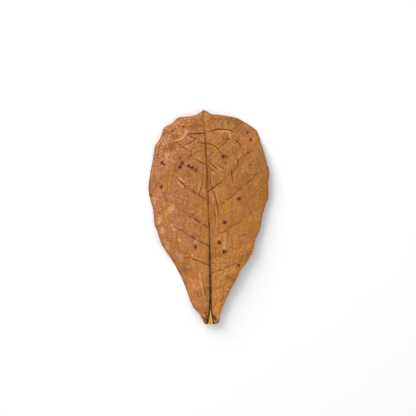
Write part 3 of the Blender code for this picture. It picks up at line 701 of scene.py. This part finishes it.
def buildLeaf():
    lines = leafLines()
    kept, edges = planPoints(lines)
    made = delaunay_2d_cdt([Vector(point) for point in kept], edges, [], 1, 1e-6)
    points = np.array([tuple(point) for point in made[0]])
    faces = [tuple(face) for face in made[2]]
    print("leaf plan:", len(points), "points,", len(faces), "triangles a face")
    found = measure(points, lines)
    upper, under = faceHeights(points, found)
    found.update(stainFields(points))
    count = len(points)
    centred = points - (points.min(axis=0) + points.max(axis=0)) / 2
    corners = np.vstack([np.column_stack([centred, upper]), np.column_stack([centred, under])])
    faceEdges = {(face[k], face[(k + 1) % 3]) for face in faces for k in range(3)}
    rim = sorted((a, b) for a, b in faceEdges if (b, a) not in faceEdges)
    below = [(c + count, b + count, a + count) for a, b, c in faces]
    walls = [(b, a, a + count, b + count) for a, b in rim]
    mesh = bpy.data.meshes.new("leafBlade")
    mesh.from_pydata((corners * mm).tolist(), [], faces + below + walls)
    mesh.validate()
    mesh.shade_smooth()
    for name in leafFields:
        layer = mesh.attributes.new(name, "FLOAT", "POINT")
        layer.data.foreach_set("value", np.tile(found[name], 2).astype(np.float32))
    side = mesh.attributes.new("upside", "FLOAT", "POINT")
    side.data.foreach_set("value", np.repeat([1.0, 0.0], count).astype(np.float32))
    leaf = bpy.data.objects.new("leafBlade", mesh)
    bpy.context.scene.collection.objects.link(leaf)
    return leaf


# shader helpers: make a node, fill its sockets with values or links
def addNode(tree, kind, sockets=None, **settings):
    made = tree.nodes.new(kind)
    for name, value in settings.items():
        setattr(made, name, value)
    for name, value in (sockets or {}).items():
        if isinstance(value, bpy.types.NodeSocket):
            tree.links.new(value, made.inputs[name])
        else:
            made.inputs[name].default_value = value
    return made


def calc(tree, operation, a, b=0.0, c=0.0, clamp=False):
    made = addNode(tree, "ShaderNodeMath", {0: a, 1: b, 2: c}, operation=operation, use_clamp=clamp)
    return made.outputs[0]


def ramp(tree, value, fromLow, fromHigh, toLow=0.0, toHigh=1.0):
    made = addNode(
        tree, "ShaderNodeMapRange",
        {"Value": value, "From Min": fromLow, "From Max": fromHigh, "To Min": toLow, "To Max": toHigh},
        interpolation_type="SMOOTHSTEP",
    )
    return made.outputs["Result"]


def blend(tree, amount, below, above):
    return addNode(tree, "ShaderNodeMix", {0: amount, 6: below, 7: above}, data_type="RGBA").outputs[2]


def cloud(tree, where, scale, detail=3.0, roughness=0.55):
    sockets = {"Vector": where, "Scale": scale, "Detail": detail, "Roughness": roughness}
    return addNode(tree, "ShaderNodeTexNoise", sockets).outputs["Fac"]


def newGroup(name, inputs, outputs):
    tree = bpy.data.node_groups.new(name, "ShaderNodeTree")
    for label, value in inputs:
        socket = tree.interface.new_socket(label, in_out="INPUT", socket_type="NodeSocketFloat")
        socket.default_value = value
    for label in outputs:
        tree.interface.new_socket(label, in_out="OUTPUT", socket_type="NodeSocketFloat")
    return tree, tree.nodes.new("NodeGroupInput").outputs, tree.nodes.new("NodeGroupOutput").inputs


def placeGroup(tree, group, sockets):
    return addNode(tree, "ShaderNodeGroup", sockets, node_tree=group).outputs


veinStain = {"scale": 190.0, "detail": 3.0, "gaps": (0.42, 0.58, 1.0, 0.0)}


def makeVeinLine():
    # 1 along a vein, fading over its edge, with gaps where the vein is less stained
    tree, given, result = newGroup(
        "veinLine", [("Gap", 1.0), ("Width", 0.4), ("Softness", 0.4), ("Unevenness", 0.3)], ["Mask"]
    )
    where = addNode(tree, "ShaderNodeTexCoord").outputs["Object"]
    stain = addNode(
        tree, "ShaderNodeTexNoise",
        {"Vector": where, "Scale": veinStain["scale"], "Detail": veinStain["detail"]},
    ).outputs["Fac"]
    far = calc(tree, "ADD", given["Width"], given["Softness"])
    line = ramp(tree, given["Gap"], given["Width"], far, 1.0, 0.0)
    patchy = calc(tree, "MULTIPLY", ramp(tree, stain, *veinStain["gaps"]), given["Unevenness"])
    mask = calc(tree, "MULTIPLY", line, calc(tree, "SUBTRACT", 1.0, patchy), clamp=True)
    tree.links.new(mask, result["Mask"])
    return tree


grainLook = {
    "cellWall": (0.0, 0.22), "brokenWall": (0.16, 0.02),   # distances from a cell's edge, as a share
    "fibre": (620.0, 4.0, 0.65), "fibreStretch": (1.0, 0.8, 1.0), "grit": (760.0, 4.0, 0.7),
    "cellTone": 0.25, "cellHeight": 0.6,
}


def makeLeafGrain():
    # the fine cells and fibres of the dried surface, as a mask round 0.5 and as a height
    tree, given, result = newGroup(
        "leafGrain", [("Cell Size", 1.2), ("Fibre Turn", 0.0), ("Grit", 0.5)], ["Mask", "Height", "Wall"]
    )
    where = addNode(tree, "ShaderNodeTexCoord").outputs["Object"]
    cellScale = calc(tree, "DIVIDE", 1 / mm, given["Cell Size"])
    cells = addNode(
        tree, "ShaderNodeTexVoronoi", {"Vector": where, "Scale": cellScale, "Randomness": 1.0},
        feature="DISTANCE_TO_EDGE",
    ).outputs["Distance"]
    wall = ramp(tree, cells, *grainLook["cellWall"])
    turn = addNode(tree, "ShaderNodeCombineXYZ", {"Z": given["Fibre Turn"]}).outputs[0]
    turned = addNode(
        tree, "ShaderNodeMapping", {"Vector": where, "Rotation": turn, "Scale": grainLook["fibreStretch"]}
    ).outputs[0]
    fibre = cloud(tree, turned, *grainLook["fibre"])
    grit = cloud(tree, where, *grainLook["grit"])
    rough = calc(tree, "MULTIPLY_ADD", calc(tree, "SUBTRACT", grit, fibre), given["Grit"], fibre)
    mask = calc(tree, "MULTIPLY_ADD", calc(tree, "SUBTRACT", wall, 0.5), grainLook["cellTone"], rough)
    tree.links.new(mask, result["Mask"])
    tree.links.new(ramp(tree, cells, *grainLook["brokenWall"]), result["Wall"])
    tree.links.new(calc(tree, "MULTIPLY_ADD", wall, grainLook["cellHeight"], rough), result["Height"])
    return tree


leafTones = {
    # left is pinkish and right ochre, the leaf's own tones, and right is also painted lighter to make up for
    # its turn away from the key light
    "left": (0.41, 0.145, 0.043), "right": (0.46, 0.178, 0.030),
    "upperLeft": (0.365, 0.128, 0.042), "upperRight": (0.38, 0.150, 0.034),
    # the lower part is more orange in its own colour; lowLeft, lowRight and baseRight are also painted
    # lighter to make up for the slope away from the key light
    "lowLeft": (0.66, 0.242, 0.04), "lowRight": (0.61, 0.245, 0.041),
    "baseLeft": (0.385, 0.143, 0.029), "baseRight": (0.70, 0.275, 0.042),
    "mauve": (0.46, 0.165, 0.09), "orange": (0.52, 0.18, 0.025),
    "light": (0.62, 0.30, 0.10), "dark": (0.18, 0.055, 0.010),
    "fleckDark": (0.22, 0.055, 0.03), "fleckLight": (0.68, 0.32, 0.18),
    "bleached": (0.66, 0.375, 0.165), "brown": (0.26, 0.07, 0.025),
    "besideMidrib": (0.25, 0.085, 0.016), "lobe": (0.11, 0.034, 0.018),
    # crest is a painted highlight on a fold, and the trough tone is the painted shade in it
    "crest": (0.70, 0.395, 0.15), "paintedTroughShade": (0.16, 0.05, 0.004),
    "sideVein": (0.15, 0.05, 0.008), "midribLow": (0.07, 0.027, 0.010),
    "midribHigh": (0.125, 0.033, 0.002), "rimDark": (0.34, 0.095, 0.03),
    "rimLit": (0.62, 0.22, 0.02), "stalk": (0.72, 0.42, 0.11),
    "amber": (0.75, 0.3, 0.03), "white": (0.9, 0.82, 0.7),
    "halo": (0.21, 0.056, 0.034), "spot": (0.07, 0.02, 0.02),
    "underPale": (0.46, 0.245, 0.11), "underDark": (0.36, 0.16, 0.065),
    "rib": (0.40, 0.19, 0.07),
}
leafFinish = {
    "grain": {"Cell Size": 1.15, "Fibre Turn": 0.5, "Grit": 0.5},
    "crackle": {"Cell Size": 2.6, "Fibre Turn": 0, "Grit": 0.5},
    "driftNoise": (60,), "driftReach": 50,   # how far the border of the two halves wanders
    "reflection": 0.06, "bumpDepth": 0.0003, "bumpStrength": 0.7,
}

# A mask is the product of its parts. A part is (value, from, to, share at from, share at to), the
# last two being 0 and 1 if left out, or (value, factor), or the value alone. The value is the name
# of a place, distance or mask, in millimetres, or a noise of (scale, detail, roughness), the last
# two being 3 and 0.55 if left out.
rightHalf = ("x", -4, 4)
acrossHalves = ("drift", -8, 26)
upperLeftEdge = [("x", -10, -30), ("y", 30, 55), ("edge", 18, 4, 0.3, 1)]
midribWidth = [("y", 0, -85, 0.45, 0.9)]
leafRoughness = [((260, 4), 0.3, 0.7, 0.46, 0.66)]
# values made of masks: the highest or the sum of several, or one alone
joinedMasks = {
    "coarse": ("MAXIMUM", [
        [("y", 0, -25, 0.3, 0.9), rightHalf], [("x", 30, -20, 0.3, 0.68)],
        [("y", 25, 50, 0.3, 0.64)],
    ]),
    "broken": ("MAXIMUM", [[((560,), 0.42, 0.58)], [("crackle", 0.6)]]),
    "nearMidrib": ("ADD", [
        [("beside", -4.5, -0.5, 0, 0.4), ("y", -12, -45), ("beside", 0.5, -0.5)],
        [("beside", 6, 0.5, 0, 0.3), ("y", 55, 40), ("beside", -0.5, 0.5)],
    ]),
    "blotched": ("MAXIMUM", [[("lobe",), ((540,), 0.36, 0.6, 1, 0.6)]]),
}
# lines of veins: distance, width, softness, unevenness
veinLines = {
    "fineLine": ("fineNet", 0.05, 0.4, 0.9), "netLine": ("net", 0.1, 0.5, 0.8),
    "sideLine": ("vein", 0.15, 0.8, 0.75), "midribLine": ("midribGap", "midribWidth", 0.55, 0.2),
}
# tones mixed of two others by a mask
mixedTones = {
    # the two halves, the right one partly painted lighter against its turn away from the key light
    "halves": ("left", "right", acrossHalves),
    "upper": ("upperLeft", "upperRight", acrossHalves),
    "lowHalves": ("lowLeft", "lowRight", rightHalf),
    "baseHalves": ("baseLeft", "baseRight", rightHalf),
    "low": ("lowHalves", "baseHalves", ("y", -45, -70)),
    "midrib": ("midribLow", "midribHigh", ("y", -30, 20)),
    "rim": ("rimDark", "rimLit", ("x", 0, 12), ("y", 6, -20)),
    "under": ("underPale", "underDark", ((130, 4), 0.35, 0.7)),
}
# what is laid over the two halves, in order: tone, mask
upperLayers = [
    ("upper", ("y", 5, 36)),
    # the lower part, its own more orange tone, also painted lighter against its slope away from the key
    # light
    ("low", ("y", 0, -60, 0, 0.8)),
    # clouds, mauve towards the left edge
    ("mauve", ((95, 4), 0.42, 0.6), ("x", 12, -30, 0.25, 0.95)),
    ("orange", ((150, 4), 0.55, 0.7, 0, 0.7)),
    ("light", ((70,), 0.5, 0.72, 0, 0.3)),
    ("dark", ((110, 4), 0.5, 0.76, 0, 0.5)),
    ("light", ((330, 4, 0.65), 0.5, 0.72, 0, 0.55)),
    # pits and grains, least right of the middle, and flecks along the upper left edge
    ("dark", ("grain", 0.52, 0.26, 0, 0.95), ("coarse",)),
    ("light", ("grain", 0.5, 0.7, 0, 0.95), ("coarse",)),
    ("fleckDark", ((680, 2, 0.5), 0.55, 0.64, 0, 0.9), *upperLeftEdge),
    ("fleckLight", ((680, 2, 0.5), 0.45, 0.36, 0, 0.9), *upperLeftEdge),
    # bleached patches, brown stains, and browner beside the midrib
    ("bleached", ("pale", 0, 0.8, 0, 0.8), ("broken",)),
    ("brown", ("brown", 0.55)),
    ("besideMidrib", ("nearMidrib",)),
    # the blackened lobes, then the folds, with a painted highlight on the crest and painted shade in the
    # trough
    ("lobe", ("blotched", 0.08, 0.6, 0, 0.92)),
    ("crest", ("foldHighlightAndShade", 0.06, 0.42), ((560,), 0.36, 0.56, 0.3, 0.95)),
    ("paintedTroughShade", ("foldHighlightAndShade", -0.05, -0.4, 0, 0.92)),
    # veins from fine to broad
    ("dark", ("fineLine", 0.3)),
    ("dark", ("netLine", 0.25)),
    ("sideVein", ("sideLine",), ("veinInk",)),
    ("midrib", ("midribLine",), ("midribInk",)),
    # the edge, lit at the lower right, the stalk and the tip, then specks and dark spots
    ("rim", ("edge", 1.6, 0.1, 0, 0.7)),
    ("stalk", ("stalk", 0.05, 0.6)),
    ("spot", ("tipEdge", 0.7, 0.1, 0, 0.8)),
    ("amber", ("amber",)),
    ("white", ("white",)),
    ("halo", ("spot", 1.25, -0.1, 0, 0.75)),
    ("spot", ("spot", 0.3, -0.45, 0, 0.95)),
]
# the under side is paler, with its ribs the colour of straw
underLayers = [
    ("underDark", ("grain", 0.5, 0.2, 0, 0.5)),
    ("rib", ("net", 0.7, 0.2, 0, 0.5)),
    ("rib", ("vein", 1.2, 0.4, 0, 0.8)),
    ("rib", ("midrib", 2.4, 1, 0, 0.9)),
]


def maskOf(tree, at, parts):
    mask = None
    for source, *reach in parts:
        if source not in at:
            at[source] = cloud(tree, at["where"], *source)
        value = at[source]
        if len(reach) == 1:
            value = calc(tree, "MULTIPLY", value, reach[0])
        elif reach:
            value = ramp(tree, value, *reach)
        mask = value if mask is None else calc(tree, "MULTIPLY", mask, value)
    return mask


def toneOf(tree, at, name):
    if name not in mixedTones:
        return (*leafTones[name], 1)
    first, second, *parts = mixedTones[name]
    return blend(tree, maskOf(tree, at, parts), toneOf(tree, at, first), toneOf(tree, at, second))


def layered(tree, at, start, layers):
    colour = toneOf(tree, at, start)
    for tone, *parts in layers:
        colour = blend(tree, maskOf(tree, at, parts), colour, toneOf(tree, at, tone))
    return colour


def leafPlaces(tree, veinLine, leafGrain):
    # every value that the masks are made from; x and y in millimetres
    where = addNode(tree, "ShaderNodeTexCoord").outputs["Object"]
    inPlan = addNode(tree, "ShaderNodeVectorMath", {0: where, "Scale": 1 / mm}, operation="SCALE").outputs[0]
    plan = addNode(tree, "ShaderNodeSeparateXYZ", {0: inPlan}).outputs
    at = {"where": where, "x": plan[0], "y": plan[1]}
    for name in leafFields + ["upside"]:
        at[name] = addNode(tree, "ShaderNodeAttribute", attribute_name=name).outputs["Fac"]
    grain = placeGroup(tree, leafGrain, leafFinish["grain"])
    at["grain"], at["relief"] = grain["Mask"], grain["Height"]
    at["crackle"] = placeGroup(tree, leafGrain, leafFinish["crackle"])["Wall"]
    drift = cloud(tree, where, *leafFinish["driftNoise"])
    at["drift"] = calc(tree, "MULTIPLY_ADD", drift, leafFinish["driftReach"], at["x"])
    at["midribGap"] = calc(tree, "ABSOLUTE", at["stalk"])
    at["midribWidth"] = maskOf(tree, at, midribWidth)
    for name, (gap, width, softness, unevenness) in veinLines.items():
        sockets = {"Gap": at[gap], "Width": at.get(width, width), "Softness": softness}
        at[name] = placeGroup(tree, veinLine, {**sockets, "Unevenness": unevenness})["Mask"]
    for name, (operation, masks) in joinedMasks.items():
        at[name] = maskOf(tree, at, masks[0])
        for parts in masks[1:]:
            at[name] = calc(tree, operation, at[name], maskOf(tree, at, parts))
    return at


def leafMaterial(veinLine, leafGrain):
    material = bpy.data.materials.new("dryLeaf")
    material.use_nodes = True
    tree = material.node_tree
    shader = tree.nodes["Principled BSDF"]
    at = leafPlaces(tree, veinLine, leafGrain)
    upper = layered(tree, at, "halves", upperLayers)
    under = layered(tree, at, "under", underLayers)
    upperShare = ramp(tree, at["upside"], 0.4, 0.6)
    tree.links.new(blend(tree, upperShare, under, upper), shader.inputs["Base Color"])
    tree.links.new(maskOf(tree, at, leafRoughness), shader.inputs["Roughness"])
    shader.inputs["Specular IOR Level"].default_value = leafFinish["reflection"]
    strength, depth = leafFinish["bumpStrength"], leafFinish["bumpDepth"]
    relief = addNode(
        tree, "ShaderNodeBump", {"Strength": strength, "Distance": depth, "Height": at["relief"]}
    )
    tree.links.new(relief.outputs[0], shader.inputs["Normal"])
    return material


def plainMaterial(name, colour, roughness):
    material = bpy.data.materials.new(name)
    material.use_nodes = True
    shader = material.node_tree.nodes["Principled BSDF"]
    shader.inputs["Base Color"].default_value = colour
    shader.inputs["Roughness"].default_value = roughness
    return material


studio = {
    "floorColour": (0.95, 0.95, 0.95, 1), "floorRoughness": 0.9, "floorSize": 4.0, "floorDrop": 0.0001,
    "worldColour": (0.985, 0.995, 1.0, 1), "worldStrength": 0.745,
    "keyPlace": (-0.85, 1.11, 0.85), "keySize": 1.25, "keyPower": 23.0, "keyColour": (1.0, 0.985, 0.96),
    "lens": 100.0, "sensor": 36.0, "viewWidth": 0.3482, "viewLevel": 0.008, "aim": (-0.0005, 0.0075),
}


def setFloorAndLight():
    scene = bpy.context.scene
    bpy.ops.mesh.primitive_plane_add(size=studio["floorSize"], location=(0, 0, -studio["floorDrop"]))
    floor = bpy.context.object
    floor.name = "floor"
    floor.data.materials.append(plainMaterial("paleFloor", studio["floorColour"], studio["floorRoughness"]))
    world = bpy.data.worlds.new("softRoom")
    world.use_nodes = True
    sky = world.node_tree.nodes["Background"]
    sky.inputs["Color"].default_value = studio["worldColour"]
    sky.inputs["Strength"].default_value = studio["worldStrength"]
    scene.world = world
    key = bpy.data.lights.new("key", "AREA")
    key.shape = "SQUARE"
    key.size = studio["keySize"]
    key.energy = studio["keyPower"]
    key.color = studio["keyColour"]
    keyObject = bpy.data.objects.new("key", key)
    keyObject.location = studio["keyPlace"]
    keyObject.rotation_euler = (-Vector(studio["keyPlace"])).to_track_quat("-Z", "Y").to_euler()
    scene.collection.objects.link(keyObject)
    scene.view_settings.view_transform = "Standard"
    print("floor and light set")


def setCamera():
    # straight above, so far away that the view is viewWidth wide at the level of the blade
    scene = bpy.context.scene
    camera = bpy.data.cameras.new("camera")
    camera.lens = studio["lens"]
    camera.sensor_width = studio["sensor"]
    cameraObject = bpy.data.objects.new("camera", camera)
    height = studio["viewWidth"] * studio["lens"] / studio["sensor"] + studio["viewLevel"]
    cameraObject.location = (*studio["aim"], height)
    scene.collection.objects.link(cameraObject)
    scene.camera = cameraObject
    print("camera set")


setFloorAndLight()
setCamera()
leaf = buildLeaf()
print("leaf blade built:", len(leaf.data.polygons), "faces")
leaf.data.materials.append(leafMaterial(makeVeinLine(), makeLeafGrain()))
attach(leaf, "root")
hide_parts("leaf")
print("leaf finished")
